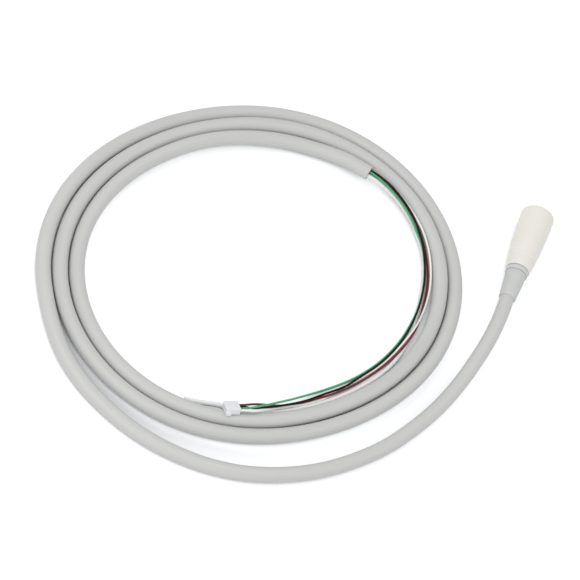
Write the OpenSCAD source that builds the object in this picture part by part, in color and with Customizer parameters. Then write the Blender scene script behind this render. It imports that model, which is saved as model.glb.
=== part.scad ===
// Dental handpiece hose: a grey silicone hose laid in flat loops, a cream quick-connect
// coupling on one end, and on the other the cut hose with its four leads and water tube.
// The coupling lies along +Y on the floor at z = 0, with its socket facing +Y.

/* [Shell] */
// Length of the cream shell
shell_length = 38.5; // [34:0.5:44]
// Widest diameter of the shell, at the socket end
mouth_d = 17.6; // [16.4:0.2:20]
// Rounding of the rim round the socket
rim_radius = 1.4; // [0.8:0.1:1.8]
// Wall at the tail end of the shell
tail_wall = 1.0; // [0.8:0.1:1.4]
// How strongly the shell swells behind its rim (1 is a plain cone)
shell_swell = 2.2; // [1.4:0.1:3]
// Distance of the fine moulding line from the tail end
line_setback = 7; // [5:0.5:10]

/* [Socket] */
// Diameter of the socket for the handpiece
socket_d = 13; // [11.6:0.2:13.6]
// Depth of the socket
socket_depth = 12; // [9:0.5:14]
// Chamfer at the mouth of the socket
mouth_chamfer = 0.5; // [0.3:0.1:0.8]
// Width of the key slot in the socket wall
key_width = 2; // [1.4:0.1:2.6]
// Depth of the key slot into the wall
key_depth = 0.8; // [0.5:0.1:1]
// Thickness of the web at the bottom of the socket
web_thickness = 2; // [1.5:0.1:3]

/* [Contacts and water port] */
// Length of the contact block behind the web
block_length = 6; // [5:0.5:7.5]
// Bore of a contact, for a round pin
contact_bore = 1; // [0.7:0.05:1.1]
// Wall of the solder cup behind a contact
cup_wall = 0.2; // [0.2:0.05:0.3]
// How far the solder cups stand out behind the block
cup_length = 2.5; // [2:0.25:3]
// Outer diameter of the water port bush
port_d = 3.6; // [3.3:0.1:4]
// Bore of the water port, for the handpiece's spigot
port_bore = 2.2; // [1.9:0.1:2.4]
// Thickness of the ring seal inside the port
seal_section = 0.7; // [0.6:0.05:0.8]
// How far the port's barb stands out behind the block
barb_length = 4; // [3:0.5:5]
// Bore through the barb
barb_bore = 0.7; // [0.5:0.1:0.8]

/* [Gland nut] */
// Visible length of the grey nut
nut_length = 2.4; // [2:0.1:3.5]
// How much the nut steps in from the shell's tail
nut_inset = 0.5; // [0.3:0.1:0.8]
// Length of the threaded spigot inside the shell
spigot_length = 4.2; // [3.4:0.2:5]
// Wall of the threaded spigot
spigot_wall = 0.55; // [0.5:0.05:0.8]
// Gap seen on either side of the nut
nut_gap = 0.3; // [0.2:0.05:0.4]

/* [Bend relief] */
// Visible length of the tapered bend relief
relief_length = 16; // [13:0.5:22]
// How much the relief steps in from the nut
relief_inset = 0.4; // [0.2:0.1:0.6]
// Wall of the relief at its tip
relief_tip_wall = 0.45; // [0.4:0.05:0.7]
// Wall of the neck that the nut turns on
neck_wall = 0.65; // [0.5:0.05:0.8]
// Thickness of the collar that the nut clamps
collar_length = 1.5; // [1.2:0.1:2]

/* [Hose and its end] */
// Outer diameter of the hose
hose_d = 7.6; // [7.2:0.1:8.4]
// Depth of the open bore at either end of the hose
hose_bore_depth = 10; // [8:0.5:11]
// Wall of the crimp ferrule on the hose
ferrule_wall = 0.6; // [0.5:0.05:0.7]
// Length of the crimp ferrule
ferrule_length = 4.5; // [4:0.25:5]
// Wall of the stem inside the hose end
stem_wall = 0.2; // [0.15:0.05:0.25]
// Thickness of the stem's flange in front of the hose
stem_flange = 0.6; // [0.4:0.1:0.8]

/* [Coil] */
// Mean radius where the lead joins the outer loop
coil_radius = 102.9; // [95:0.5:115]
// How much longer than the mean the loops reach along their long axis
coil_oval = 8.6; // [4:0.2:10]
// Direction of the long axis, from +X
coil_long_axis = 48; // [30:1:60]
// Spare distance between loops, added to the hose diameter
coil_gap = 0.8; // [0.8:0.05:1]

/* [Leads, water tube and plug] */
// Outer diameter of an insulated lead
wire_d = 1.1; // [1:0.05:1.2]
// Outer diameter of the water tube
tube_d = 2.2; // [2:0.05:2.3]
// Bore of the water tube
tube_bore = 1.2; // [0.9:0.1:1.3]
// Plastic between neighbouring ways of the plug
way_wall = 0.15; // [0.1:0.05:0.3]
// Plastic outside the end ways of the plug
plug_side = 0.6; // [0.5:0.05:0.9]
// Length of the plug
plug_length = 7.2; // [6.4:0.1:8]
// Height of the plug
plug_height = 3.4; // [3.2:0.1:4]
// How far a lead reaches into the plug
plug_entry = 2.8; // [2.4:0.1:3]

/* [Hidden] */
$fn = 64;
eps = 0.01;

// Clearances
seat_clear = 0.1;
thread_clear = 0.1;
turn_clear = 0.15;
slide_clear = 0.15;
push_clear = 0.05;

// What passes through the hose end sets its bore
contact_count = 4;
lead_ring_r = tube_d / 2 + wire_d / 2 + push_clear;
stem_bore = 2 * (lead_ring_r + wire_d / 2 + push_clear);
stem_d = stem_bore + 2 * stem_wall;
hose_bore_d = stem_d + 2 * push_clear;

// Diameters from the hose outwards to the shell's tail
relief_bore = hose_d + 2 * slide_clear;
neck_d = relief_bore + 2 * neck_wall;
nut_bore = neck_d + 2 * turn_clear;
spigot_d = nut_bore + 2 * spigot_wall;
core_bore = spigot_d + 2 * thread_clear;
tail_d = core_bore + 2 * tail_wall;
nut_d = tail_d - 2 * nut_inset;
relief_root_d = nut_d - 2 * relief_inset;
relief_tip_d = relief_bore + 2 * relief_tip_wall;
collar_d = core_bore - 2 * thread_clear - 2 * seat_clear;
ferrule_bore = hose_d + 2 * push_clear;
ferrule_d = ferrule_bore + 2 * ferrule_wall;
insert_d = core_bore - 2 * seat_clear;
clamp_bore = ferrule_d + 2 * slide_clear;

// Contacts stand on a circle round the water port
cup_bore = wire_d + 2 * push_clear;
sleeve_d = cup_bore + 2 * cup_wall;
block_wall = 0.5;
contact_circle = port_d + sleeve_d + 2 * block_wall;
nose_d = contact_circle + sleeve_d + 2 * block_wall;
web_bore = nose_d + 2 * seat_clear;
contact_recess = 0.3;

// Places along the coupling's axis
total_length = shell_length + nut_length + 2 * nut_gap + relief_length;
y_mouth = total_length / 2;
y_tail = y_mouth - shell_length;
y_socket = y_mouth - socket_depth;
y_web = y_socket - web_thickness;
y_block = y_web - block_length;
y_nut = y_tail - nut_gap - nut_length;
y_relief = y_nut - nut_gap;
y_tip = -total_length / 2;
y_collar = y_tail + spigot_length + seat_clear;
y_clamp = y_collar + collar_length;
y_hose = y_clamp + seat_clear + ferrule_length;
y_stem = y_hose + stem_flange;
z_axis = mouth_d / 2;

// The hose is swept with flats below, so it rests on a flat
hose_sides = 12;
wire_sides = 8;
hose_rest = hose_d / 2 * cos(180 / hose_sides);

// Coil: travelled angle runs from the lead's join inwards, clockwise from above
coil_centre = [-120.4, -79.4];
coil_start = 210;
coil_sweep = 852;
loop_rings = 30;
cut_spare = 2.5;
// Further turn of the spiral that the straight end points to, in degrees
cut_turn = 9;
coil_pitch = hose_d + coil_gap;
// Travelled angle and height where the loops ride up off the floor at the far side
coil_lift = [
    [375, 0], [400, 0.7], [430, 1.9], [460, 1.9], [485, 1.3],
    [500, 1.3], [520, 2.2], [540, 1.5], [560, 0], [735, 0],
    [750, 1.2], [770, 2.9], [790, 4.1], [800, 3.9], [820, 1.9], [838, 0.6], [860, 4.2]];

// Route of the lead behind the relief: place, and height of the hose's underside
lead_route = [
    [-1, -56, 4.6], [-3.5, -72, 3.2], [-7, -88, 1.6], [-12, -104, 0.4], [-19, -120, 0],
    [-29, -138, 0], [-42, -154.5, 0], [-56, -168, 0], [-71, -178.5, 0], [-87, -186.5, 0],
    [-104, -191.5, 0], [-122, -193.5, 0], [-140, -192.5, 0], [-157, -188.5, 0], [-173, -182, 0],
    [-187.5, -172.5, 0], [-199, -160.5, 0]];
// The hose stays straight this far behind the relief
lead_straight = 13;

// Leads and tube lie along the inside of the inner loop. Each point gives the direction
// from the coil's centre, the distance in from the hose's side, and the height.
// Each seat gives the place in the hose's bore: outwards and upwards of its middle.
red_seat = [1, -1.2];
red_route = [
    [66, 2.4, 6.7], [63, 1.8, 6.5], [60, 1.5, 6.2], [55, 1.25, 6.05], [50, 1.2, 5.8],
    [45, 1.2, 4.9], [40, 1.4, 3.9], [35, 1.7, 3.2], [30, 1.9, 2.6], [25, 2.4, 2.1],
    [20, 2.85, 1.5], [15, 3, 1.2], [10, 2.9, 1.8], [5, 3.15, 2.65], [0, 3.5, 2.75],
    [-5, 3.85, 1.95], [-10, 4.1, 1.1], [-15, 4.25, 0.65], [-20, 4.3, 0.6], [-25, 4.2, 0.75],
    [-29, 4.1, 1.2], [-33, 4.05, 1.7], [-37, 4.1, 1.8], [-40, 4.2, 1.7], [-43, 4.55, 1.25],
    [-48, 4.8, 0.65], [-52, 4.8, 0.6], [-56, 4.9, 0.7], [-60, 4.8, 1.5], [-63, 4.6, 2.7],
    [-66, 4.5, 4.2], [-69, 4.1, 5.8], [-72, 3.4, 7.2]];
black_seat = [1.15, 1.3];
black_route = [
    [66, 2.6, 9], [63, 2.05, 8.7], [60, 1.8, 8.35], [55, 1.85, 8.05], [50, 2.1, 7.7],
    [45, 2.55, 6.8], [40, 3, 5.85], [35, 3.55, 4.8], [30, 4.2, 4.05], [25, 4.95, 4],
    [20, 5.5, 3.95], [15, 5.95, 3.95], [10, 6.05, 3.2], [5, 6.1, 2.35], [0, 6.15, 1.8],
    [-5, 6.3, 1.65], [-10, 6.3, 1.6], [-15, 6.35, 1.5], [-20, 6.4, 1.55], [-25, 5.95, 1.7],
    [-29, 5.4, 1.75], [-33, 5.35, 1.65], [-37, 5.4, 1.9], [-40, 5.35, 2.2], [-43, 5.15, 2.35],
    [-48, 4.7, 2.15], [-52, 4.4, 2.5], [-56, 4, 3.3], [-60, 3.4, 4.4], [-63, 2.8, 5.4],
    [-66, 2.2, 6.4], [-69, 1.5, 7.3], [-72, 0.8, 8]];
green_seat = [-0.1, 1.3];
green_route = [
    [66, 3.85, 8.5], [63, 3.2, 7.9], [60, 2.9, 7.4], [55, 2.9, 7.05], [50, 3.2, 6.65],
    [45, 3.3, 5.65], [40, 2.75, 4.6], [35, 3.2, 3.5], [30, 3.65, 2.9], [25, 4.6, 2.85],
    [20, 5.4, 2.8], [15, 5.95, 2.8], [10, 6.5, 2.1], [5, 6.7, 1.3], [0, 6.9, 0.85],
    [-5, 7.05, 0.65], [-10, 7.1, 0.65], [-15, 7.2, 0.62], [-20, 7.3, 0.6], [-25, 7.4, 0.6],
    [-30, 7.6, 0.6], [-36, 7.85, 0.6], [-40, 7.9, 0.6], [-44, 7.7, 1.2], [-48, 7.2, 2.3],
    [-52, 6.5, 3.6], [-56, 5.6, 5], [-60, 4.6, 6.4], [-63, 3.7, 7.5], [-66, 2.6, 8.5],
    [-69, 1.7, 9.2], [-72, 0.6, 9.5]];
white_seat = [1.75, 0.1];
white_route = [
    [66, 1.9, 7.9], [63, 1.2, 7.5], [60, 0.85, 7.2], [55, 0.75, 7.2], [50, 0.85, 7.5],
    [45, 0.85, 7.6], [40, 1, 7.2], [35, 1.2, 6.5], [30, 1.25, 5.1], [25, 1.4, 3.8], [20, 2, 2.9],
    [15, 2.75, 2.5], [10, 3.55, 2.95], [5, 4.4, 2.85], [0, 4.9, 2.2], [-5, 5.15, 1.3],
    [-10, 5.3, 0.8], [-15, 5.55, 0.65], [-20, 5.75, 0.6], [-25, 5.55, 0.6], [-29, 5.2, 0.6],
    [-33, 4.75, 0.6], [-38, 4.05, 0.6], [-42, 3.5, 0.6], [-48, 3.5, 0.6], [-52, 3.5, 0.8],
    [-56, 3.5, 1.5], [-60, 2.9, 2.7], [-63, 2.3, 4.1], [-66, 1.3, 5.6], [-69, 0, 7.5],
    [-72, -1.3, 9.2]];
tube_seat = [-1.3, -0.4];
tube_route = [
    [66, 4.75, 6.8], [63, 3.5, 5.7], [60, 2.4, 4.7], [57, 1.8, 4], [54, 1.55, 3.4],
    [50, 1.5, 2.8], [45, 1.95, 2.3], [40, 2.25, 1.7], [35, 2.85, 1.2], [30, 3.8, 1.1],
    [25, 4.7, 1.1], [20, 5.4, 1.1], [15, 5.3, 1.1], [10, 4.7, 1.1], [5, 3.9, 1.1], [0, 3, 1.1],
    [-5, 2.3, 1.1], [-10, 1.9, 1.1], [-16, 1.7, 1.1], [-24, 1.7, 1.1], [-32, 1.7, 1.1],
    [-40, 1.7, 1.1], [-48, 1.7, 1.1], [-56, 1.7, 1.1], [-64, 1.7, 1.1], [-68, 1.7, 1.1],
    [-72, 1.9, 1.1], [-76, 2.7, 1.1], [-80, 3.9, 1.1], [-84, 4.6, 1.1], [-88, 4, 1.1],
    [-92, 3, 1.1], [-95, 2.4, 1.1]];

// Plug: its leads carry it over the inner loop, tilted in; place of its lead side
plug_direction = -77.3;
plug_in = 0.15;
plug_heading = 30;
plug_tilt = 25;
plug_dip = 0.55;
plug_ways = 4;
plug_pitch = wire_d + 2 * push_clear + way_wall;
plug_width = (plug_ways - 1) * plug_pitch + wire_d + 2 * plug_side;
terminal_w = 1;
terminal_recess = 0.6;
straight_in = 2;

// Vector helpers
function unit(v) = v / norm(v);
function side_of(t) = unit(cross(t, [0, 0, 1]));

// Coil: distance from the centre, height and place after a travelled angle
function coil_reach(a) = coil_radius - coil_pitch * a / 360
    + coil_oval * cos(2 * (coil_start - a - coil_long_axis));
function coil_height(a) = hose_rest + lookup(a, coil_lift);
function coil_at(a) = [
    coil_centre.x + coil_reach(a) * cos(coil_start - a),
    coil_centre.y + coil_reach(a) * sin(coil_start - a),
    coil_height(a)];
function coil_heading(a) = unit(coil_at(a + 0.5) - coil_at(a - 0.5));

// A place beside the inner loop: direction from the centre, distance in from the
// hose's side, and height
function inner_loop(dir) = coil_reach(coil_start - dir + 360);
function beside(dir, gap, height) = [
    coil_centre.x + (inner_loop(dir) - hose_d / 2 - gap) * cos(dir),
    coil_centre.y + (inner_loop(dir) - hose_d / 2 - gap) * sin(dir),
    height];

// Path of the coil, with a straight end at the join and at the cut
coil_first = coil_at(0) - hose_d * coil_heading(0);
cut_along = unit(coil_at(coil_sweep + cut_turn) - coil_at(coil_sweep));
coil_last = coil_at(coil_sweep) + (hose_bore_depth + cut_spare) * cut_along;
coil_path = concat(
    [coil_first],
    [for (a = [0 : 360 / loop_rings : coil_sweep]) coil_at(a)],
    [coil_last]);

// Path of the lead, from the coupling to the coil
lead_path = concat(
    [[0, y_hose, z_axis], [0, (y_hose + y_tip) / 2, z_axis],
        [0, y_tip, z_axis], [0, y_tip - lead_straight, z_axis]],
    [for (p = lead_route) [p.x, p.y, p.z + hose_rest]],
    [coil_first - hose_d * coil_heading(0), coil_first]);

// Frame of the cut hose end: outwards, up, and places along the hose from the cut
cut_out = side_of(-cut_along);
cut_up = cross(cut_along, cut_out);
function cut_place(seat, along) = coil_last + cut_along * along + cut_out * seat.x + cut_up * seat.y;

// Frame of the plug: towards the leads, and across towards the hose
plug_along = [cos(plug_heading), sin(plug_heading), 0];
plug_across = [
    cos(plug_tilt) * sin(plug_heading),
    -cos(plug_tilt) * cos(plug_heading),
    sin(plug_tilt)];
plug_mid = hose_d + plug_height / 2 - plug_dip;
plug_face = beside(plug_direction, plug_in, plug_mid);
function way_offset(way) = (way - (plug_ways - 1) / 2) * plug_pitch;
function way_place(way, along) = plug_face + plug_along * along + plug_across * way_offset(way);

// Whole path of a lead, from the bore of the hose into its way of the plug
function wire_path(seat, route, way) = concat(
    [cut_place(seat, -hose_bore_depth), cut_place(seat, 0), cut_place(seat, straight_in)],
    [for (p = route) beside(p[0], p[1], p[2])],
    [way_place(way, straight_in), way_place(way, 0), way_place(way, -plug_entry)]);
tube_path = concat(
    [cut_place(tube_seat, -hose_bore_depth), cut_place(tube_seat, 0), cut_place(tube_seat, straight_in)],
    [for (p = tube_route) beside(p[0], p[1], p[2])]);

// Least gap of the coil to itself, between rings that are at least half a loop apart
function piece_gap(p, a, b) = let (s = max(0, min(1, (p - a) * (b - a) / ((b - a) * (b - a)))))
    norm(p - a - s * (b - a));
half_loop = loop_rings / 2;
coil_count = len(coil_path);
coil_least_gap = min([for (i = [0 : coil_count - 1], j = [0 : coil_count - 2])
    if (abs(i - j) > half_loop) piece_gap(coil_path[i], coil_path[j], coil_path[j + 1])]) - hose_d;
echo(coil_least_gap_mm = coil_least_gap);

// Lengths of the hose, a lead and the water tube
function path_length(path, i = 1) =
    i < len(path) ? norm(path[i] - path[i - 1]) + path_length(path, i + 1) : 0;
echo(hose_length_mm = path_length(lead_path) + path_length(coil_path));
echo(lead_length_mm = path_length(wire_path(red_seat, red_route, 0)));
echo(tube_length_mm = path_length(tube_path));

// Ring of a swept tube round one point of its path
function path_heading(path, i) = unit(
    (i < len(path) - 1 ? unit(path[i + 1] - path[i]) : [0, 0, 0])
    + (i > 0 ? unit(path[i] - path[i - 1]) : [0, 0, 0]));
function ring(path, i, radius, sides) = let (t = path_heading(path, i), n = side_of(t), b = cross(n, t))
    [for (k = [0 : sides - 1]) let (a = 360 * (k + 0.5) / sides)
        path[i] + radius * (cos(a) * n + sin(a) * b)];

// A tube swept along a path as one closed solid
module swept_tube(path, diameter, sides) {
    last = len(path) - 1;
    points = [for (i = [0 : last]) each ring(path, i, diameter / 2, sides)];
    walls = [for (i = [0 : last - 1], k = [0 : sides - 1], half = [0, 1])
        let (a = i * sides + k, b = i * sides + (k + 1) % sides)
            half == 0 ? [a, b, b + sides] : [a, b + sides, a + sides]];
    caps = [for (k = [1 : sides - 2], cap = [0, 1])
        cap == 0 ? [0, k + 1, k] : [last * sides, last * sides + k, last * sides + k + 1]];
    polyhedron(points, concat(walls, caps));
}

// Places its children on the coupling's axis, their +Z pointing to the mouth
module on_axis(y) {
    translate([0, y, z_axis])
        rotate([-90, 0, 0])
            children();
}

// A straight bore into the end of a path, from its last point backwards
module end_bore(from, heading, diameter, depth) {
    translate(from + heading * eps)
        rotate([0, acos(heading.z), atan2(heading.y, heading.x)])
            translate([0, 0, -depth - eps])
                cylinder(d = diameter, h = depth + eps);
}

// A sleeve round the axis, from y_from towards the mouth
module sleeve(y_from, length, outer, inner) {
    on_axis(y_from)
        difference() {
            cylinder(d = outer, h = length);
            translate([0, 0, -eps])
                cylinder(d = inner, h = length + 2 * eps);
        }
}

// Outer half-profile of the shell: it swells from the tail and rounds over at the rim
shell_steps = 14;
swell_end = shell_length - rim_radius;
tail_bevel = 0.4;
line_depth = 0.15;
line_width = 0.4;
function shell_radius(s) = tail_d / 2
    + (mouth_d - tail_d) / 2 * (1 - pow(1 - s / shell_length, shell_swell));
rim_start_r = shell_radius(swell_end);
shell_outline = concat(
    [[0, 0], [shell_radius(tail_bevel) - tail_bevel, 0]],
    [for (i = [0 : shell_steps]) let (s = tail_bevel + (swell_end - tail_bevel) * i / shell_steps)
        [shell_radius(s), s]],
    [for (a = [15 : 15 : 90])
        [rim_start_r - rim_radius * (1 - cos(a)), swell_end + rim_radius * sin(a)]],
    [[0, shell_length]]);

module coupling_shell() {
    chamfer_cut = mouth_chamfer + eps;
    color("#E9E6DA")
        difference() {
            on_axis(y_tail)
                rotate_extrude()
                    polygon(shell_outline);
            on_axis(y_socket)
                cylinder(d = socket_d, h = socket_depth + eps);
            on_axis(y_mouth - mouth_chamfer)
                cylinder(d1 = socket_d, d2 = socket_d + 2 * chamfer_cut, h = chamfer_cut);
            on_axis(y_web - eps)
                cylinder(d = web_bore, h = web_thickness + 2 * eps);
            on_axis(y_tail - eps)
                cylinder(d = core_bore, h = y_web - y_tail + eps);
            // Key slot along the top of the socket
            translate([-key_width / 2, y_socket, z_axis])
                cube([key_width, socket_depth + eps, socket_d / 2 + key_depth]);
            // Fine moulding line round the tail
            on_axis(y_tail + line_setback - line_width / 2)
                difference() {
                    cylinder(d = mouth_d, h = line_width);
                    translate([0, 0, -eps])
                        cylinder(r = shell_radius(line_setback) - line_depth, h = line_width + 2 * eps);
                }
        }
}

// Places its children at each contact, looking along the axis
module at_contacts() {
    for (i = [0 : contact_count - 1])
        rotate(360 * (i + 0.5) / contact_count)
            translate([contact_circle / 2, 0, 0])
                children();
}

module contact_block() {
    front = block_length + web_thickness;
    color("#3A3C40")
        on_axis(y_block)
            difference() {
                union() {
                    cylinder(d = insert_d, h = block_length);
                    cylinder(d = nose_d, h = front);
                }
                translate([0, 0, -eps]) {
                    cylinder(d = port_d + 2 * push_clear, h = front + 2 * eps);
                    at_contacts()
                        cylinder(d = sleeve_d + 2 * push_clear, h = front + 2 * eps);
                }
            }
}

module contact_sleeves() {
    front = block_length + web_thickness - contact_recess;
    pin_depth = block_length;
    color("#D2A94E")
        on_axis(y_block)
            at_contacts()
                difference() {
                    translate([0, 0, -cup_length])
                        cylinder(d = sleeve_d, h = front + cup_length);
                    translate([0, 0, front - pin_depth])
                        cylinder(d = contact_bore, h = pin_depth + eps);
                    translate([0, 0, -cup_length - eps])
                        cylinder(d = cup_bore, h = cup_length);
                }
}

// Water port: a bush in the middle of the block, with a seal groove and a barb behind
seal_setback = 1.2;
seal_groove_d = port_bore + 1.2 * seal_section;
seal_groove_w = seal_section + 2 * seat_clear;
barb_d = tube_bore - 2 * push_clear;
barb_hole = min(barb_bore, barb_d - 2 * push_clear);
port_floor = 2;

module water_port() {
    front = block_length + web_thickness;
    color("#B9BEC4")
        on_axis(y_block)
            difference() {
                union() {
                    cylinder(d = port_d, h = front);
                    translate([0, 0, -barb_length])
                        cylinder(d = barb_d, h = barb_length + eps);
                }
                translate([0, 0, port_floor])
                    cylinder(d = port_bore, h = front);
                translate([0, 0, front - seal_setback - seal_groove_w])
                    cylinder(d = seal_groove_d, h = seal_groove_w);
                translate([0, 0, -barb_length - eps])
                    cylinder(d = barb_hole, h = barb_length + port_floor + 2 * eps);
            }
}

module port_seal() {
    color("#1C1D1F")
        on_axis(y_socket - seal_setback - seal_groove_w / 2)
            rotate_extrude()
                translate([(seal_groove_d - seal_section) / 2 - push_clear / 2, 0])
                    circle(d = seal_section, $fn = 24);
}

module clamp_sleeve() {
    color("#C9B27A")
        sleeve(y_clamp, y_block - y_clamp, insert_d, clamp_bore);
}

// Ferrule squeezed on the hose, with two rolled grooves
groove_depth = 0.2;
groove_width = 0.7;

module crimp_ferrule() {
    color("#B4B8BC")
        on_axis(y_hose - ferrule_length)
            difference() {
                cylinder(d = ferrule_d, h = ferrule_length);
                translate([0, 0, -eps])
                    cylinder(d = ferrule_bore, h = ferrule_length + 2 * eps);
                for (s = [1, 2])
                    translate([0, 0, ferrule_length * s / 3 - groove_width / 2])
                        difference() {
                            cylinder(d = ferrule_d + 1, h = groove_width);
                            translate([0, 0, -eps])
                                cylinder(d = ferrule_d - 2 * groove_depth, h = groove_width + 2 * eps);
                        }
            }
}

stem_depth = 7;

module hose_stem() {
    color("#AEB3B8")
        on_axis(y_hose - stem_depth)
            difference() {
                union() {
                    cylinder(d = stem_d, h = stem_depth + stem_flange);
                    translate([0, 0, stem_depth])
                        cylinder(d = hose_d, h = stem_flange);
                }
                translate([0, 0, -eps])
                    cylinder(d = stem_bore, h = stem_depth + stem_flange + 2 * eps);
            }
}

// Leads inside the coupling: straight out of the stem, then spread to their solder cups
module core_leads() {
    color("#8A5A3C")
        for (i = [0 : contact_count - 1]) {
            a = 360 * (i + 0.5) / contact_count;
            out = [cos(a), 0, -sin(a)];
            swept_tube([
                [0, y_hose - hose_bore_depth, z_axis] + lead_ring_r * out,
                [0, y_stem, z_axis] + lead_ring_r * out,
                [0, y_block - cup_length - push_clear, z_axis] + contact_circle / 2 * out,
                [0, y_block - push_clear, z_axis] + contact_circle / 2 * out],
                wire_d, wire_sides);
        }
}

module core_tube() {
    color("#DCDFDC")
        sleeve(y_hose - hose_bore_depth, y_block - y_hose + hose_bore_depth, tube_d, tube_bore);
}

// Bend relief: collar inside the shell, neck under the nut, then a taper along the hose
tip_round = 0.3;

module bend_relief() {
    y0 = y_tip;
    root = y_relief - y0;
    neck = y_collar - y0;
    color("#C9CBC9")
        on_axis(y0)
            rotate_extrude()
                polygon([
                    [relief_bore / 2, 0],
                    [relief_tip_d / 2 - tip_round, 0],
                    [relief_tip_d / 2, tip_round],
                    [relief_root_d / 2, root],
                    [neck_d / 2, root],
                    [neck_d / 2, neck],
                    [collar_d / 2, neck],
                    [collar_d / 2, neck + collar_length],
                    [relief_bore / 2, neck + collar_length]]);
}

// Gland nut: a plain ring outside the shell and a threaded spigot inside it
nut_edge = 0.3;

module gland_nut() {
    spigot = nut_length + nut_gap;
    color("#BFC1BD")
        on_axis(y_nut)
            rotate_extrude()
                polygon([
                    [nut_bore / 2, 0],
                    [nut_d / 2 - nut_edge, 0],
                    [nut_d / 2, nut_edge],
                    [nut_d / 2, nut_length - nut_edge],
                    [nut_d / 2 - nut_edge, nut_length],
                    [spigot_d / 2, nut_length],
                    [spigot_d / 2, spigot + spigot_length],
                    [nut_bore / 2, spigot + spigot_length]]);
}

module hose_lead() {
    color("#CBCDCA")
        difference() {
            swept_tube(lead_path, hose_d, hose_sides);
            on_axis(y_hose - hose_bore_depth)
                cylinder(d = hose_bore_d, h = hose_bore_depth + eps);
        }
}

module hose_coil() {
    color("#CBCDCA")
        difference() {
            swept_tube(coil_path, hose_d, hose_sides);
            end_bore(coil_last, cut_along, hose_bore_d, hose_bore_depth);
        }
}

module wire_red() {
    color("#8E2F33")
        swept_tube(wire_path(red_seat, red_route, 0), wire_d, wire_sides);
}

module wire_black() {
    color("#1D1E1F")
        swept_tube(wire_path(black_seat, black_route, 1), wire_d, wire_sides);
}

module wire_green() {
    color("#3F9A70")
        swept_tube(wire_path(green_seat, green_route, 2), wire_d, wire_sides);
}

module wire_white() {
    color("#ECECE8")
        swept_tube(wire_path(white_seat, white_route, 3), wire_d, wire_sides);
}

tube_end_bore = 6;

module water_tube() {
    last = len(tube_path) - 1;
    heading = unit(tube_path[last] - tube_path[last - 1]);
    color("#E2DFD6")
        difference() {
            swept_tube(tube_path, tube_d, wire_sides);
            end_bore(tube_path[last], heading, tube_bore, tube_end_bore);
        }
}

// Places its children on the plug: +X towards the leads, +Y away from the hose, middle height
module at_plug() {
    translate(plug_face)
        rotate([-plug_tilt, 0, plug_heading])
            children();
}

// Plug housing with a square channel per way, a lance window under each and a key rib on one side
window_w = 0.8;
window_l = 1.6;
rib_height = 0.5;
rib_length = 2.6;
rib_width = 1.2;
way_side = terminal_w + 2 * push_clear;
plug_round = 0.3;

module plug_housing() {
    channel = plug_length - plug_entry;
    color("#E6E8EA")
        at_plug()
            difference() {
                union() {
                    translate([-plug_length, -plug_width / 2 + plug_round, -plug_height / 2])
                        cube([plug_length, plug_width - 2 * plug_round, plug_height]);
                    translate([-plug_length, -plug_width / 2, -plug_height / 2 + plug_round])
                        cube([plug_length, plug_width, plug_height - 2 * plug_round]);
                    translate([-plug_length, -plug_width / 2 - rib_height, -rib_width / 2])
                        cube([rib_length, rib_height + plug_round, rib_width]);
                }
                for (way = [0 : plug_ways - 1])
                    translate([0, -way_offset(way), 0]) {
                        translate([-plug_length - eps, -way_side / 2, -way_side / 2])
                            cube([channel + 2 * eps, way_side, way_side]);
                        translate([-plug_entry, 0, 0])
                            rotate([0, 90, 0])
                                cylinder(d = wire_d + 2 * push_clear, h = plug_entry + eps);
                        translate([-plug_length / 2 - window_l / 2, -window_w / 2, -plug_height])
                            cube([window_l, window_w, plug_height]);
                    }
            }
}

// One crimp contact per way: a square tube that meets the end of its lead
terminal_bore = 0.6;

module crimp_terminals() {
    length = plug_length - plug_entry - terminal_recess;
    color("#C8CACC")
        at_plug()
            for (way = [0 : plug_ways - 1])
                translate([-plug_entry - length, -way_offset(way), 0])
                    difference() {
                        translate([0, -terminal_w / 2, -terminal_w / 2])
                            cube([length, terminal_w, terminal_w]);
                        translate([-eps, 0, 0])
                            rotate([0, 90, 0])
                                cylinder(d = terminal_bore, h = length / 2);
                    }
}

coupling_shell();
contact_block();
contact_sleeves();
water_port();
port_seal();
clamp_sleeve();
crimp_ferrule();
hose_stem();
core_leads();
core_tube();
bend_relief();
gland_nut();
hose_lead();
hose_coil();
wire_red();
wire_black();
wire_green();
wire_white();
water_tube();
plug_housing();
crimp_terminals();
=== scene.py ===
"""Dental handpiece hose: camera, light, cords, housings and finishes round the fixed frame."""

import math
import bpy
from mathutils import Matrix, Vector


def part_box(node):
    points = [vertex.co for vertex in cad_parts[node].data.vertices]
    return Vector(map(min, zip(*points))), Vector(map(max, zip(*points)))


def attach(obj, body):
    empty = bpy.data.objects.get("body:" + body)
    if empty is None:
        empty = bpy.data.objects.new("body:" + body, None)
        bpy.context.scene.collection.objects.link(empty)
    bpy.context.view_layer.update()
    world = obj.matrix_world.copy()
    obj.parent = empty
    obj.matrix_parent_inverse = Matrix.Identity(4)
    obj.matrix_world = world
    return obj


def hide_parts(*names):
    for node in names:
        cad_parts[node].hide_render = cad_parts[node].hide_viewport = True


bl_info = {
    "name": "Dental Handpiece Hose",
    "version": (1, 0, 0),
    "blender": (4, 5, 0),
    "location": "View3D > Sidebar > Hose",
    "description": "Dresses a coiled handpiece hose with its coupling, leads, water tube and plug",
    "category": "Object",
}

import bmesh
import bpy
import numpy as np
from mathutils import Matrix, Vector

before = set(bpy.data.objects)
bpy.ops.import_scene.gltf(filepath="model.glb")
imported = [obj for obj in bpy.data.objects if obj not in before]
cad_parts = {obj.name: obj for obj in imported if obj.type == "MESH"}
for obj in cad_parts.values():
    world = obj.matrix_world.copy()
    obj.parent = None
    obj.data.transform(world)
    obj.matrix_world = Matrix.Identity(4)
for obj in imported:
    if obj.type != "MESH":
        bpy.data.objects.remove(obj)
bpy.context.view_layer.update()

MM = 0.001
UP = np.array([0.0, 0.0, 1.0])

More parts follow.
